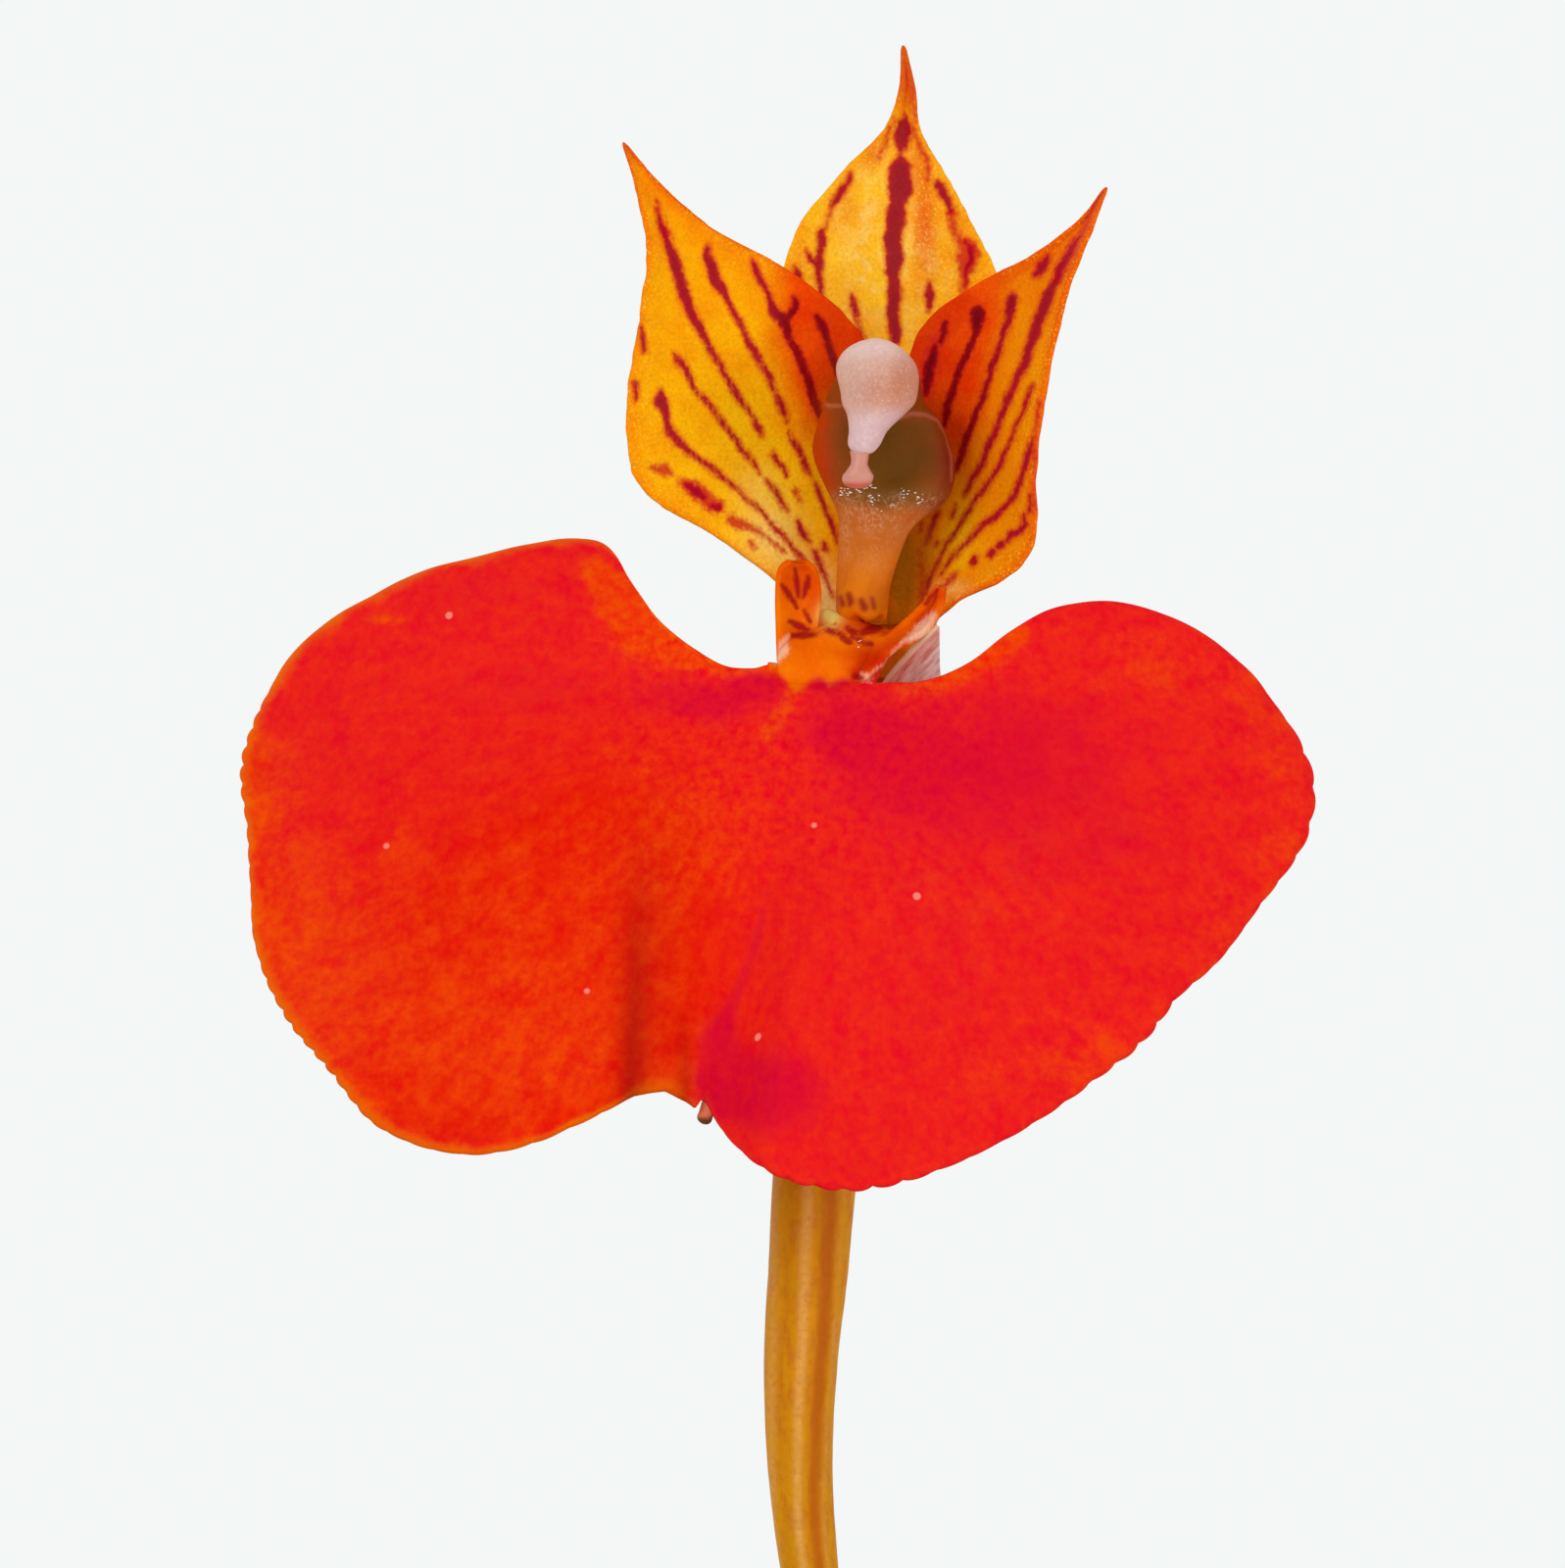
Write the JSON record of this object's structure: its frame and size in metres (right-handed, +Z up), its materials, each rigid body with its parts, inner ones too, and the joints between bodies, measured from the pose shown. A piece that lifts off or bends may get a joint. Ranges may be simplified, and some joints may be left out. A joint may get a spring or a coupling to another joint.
{
  "type": "potted orchid",
  "caption": "Potted orchid with a broad notched red lip, striped yellow petals and a long spur on a thin stem, above folded leaves, pseudobulbs and roots in a clay pot of bark.",
  "frame": {"origin": "middle of the pot's flat underside, on the surface that it stands on", "axes": "+Z up along the pot's axis, -Y the way the flower faces, +X to the right as the flower is looked at"},
  "size_m": [0.1473, 0.0887, 0.2203],
  "materials": {
    "clay": "unglazed, dry and matte",
    "bark": "rough, dry bark chips",
    "leaf": "leathery, with a soft sheen",
    "bulb": "satin, with papery dry sheaths",
    "root": "matte silvery velamen with green tips",
    "stem": "satin, wiry",
    "ovary": "satin, ribbed",
    "spur": "satin, with lengthwise bands",
    "tepal": "fine sparkling cells, with crimson stripes",
    "lip": "velvety fine grain with orange margins",
    "column": "wet, glossy and translucent",
    "anther": "waxy and smooth",
    "pollinarium": "waxy and smooth"
  },
  "bodies": {
    "root": {"pot": "clay", "bark_bed": "bark", "rhizome_and_roots": "root", "pseudobulb_newest": "bulb", "pseudobulb_middle": "bulb", "pseudobulb_oldest": "bulb", "leaf_newest": "leaf", "leaf_middle": "leaf", "leaf_oldest": "leaf", "leaf_at_foot": "leaf", "flower_stem": "stem", "ovary_and_stalk": "ovary", "joined_sepals_and_spur": "spur", "dorsal_sepal": "tepal", "petal_left": "tepal", "petal_right": "tepal", "lip": "lip", "column": "column", "anther_cap": "anther", "pollinarium": "pollinarium"}
  },
  "joints": []
}
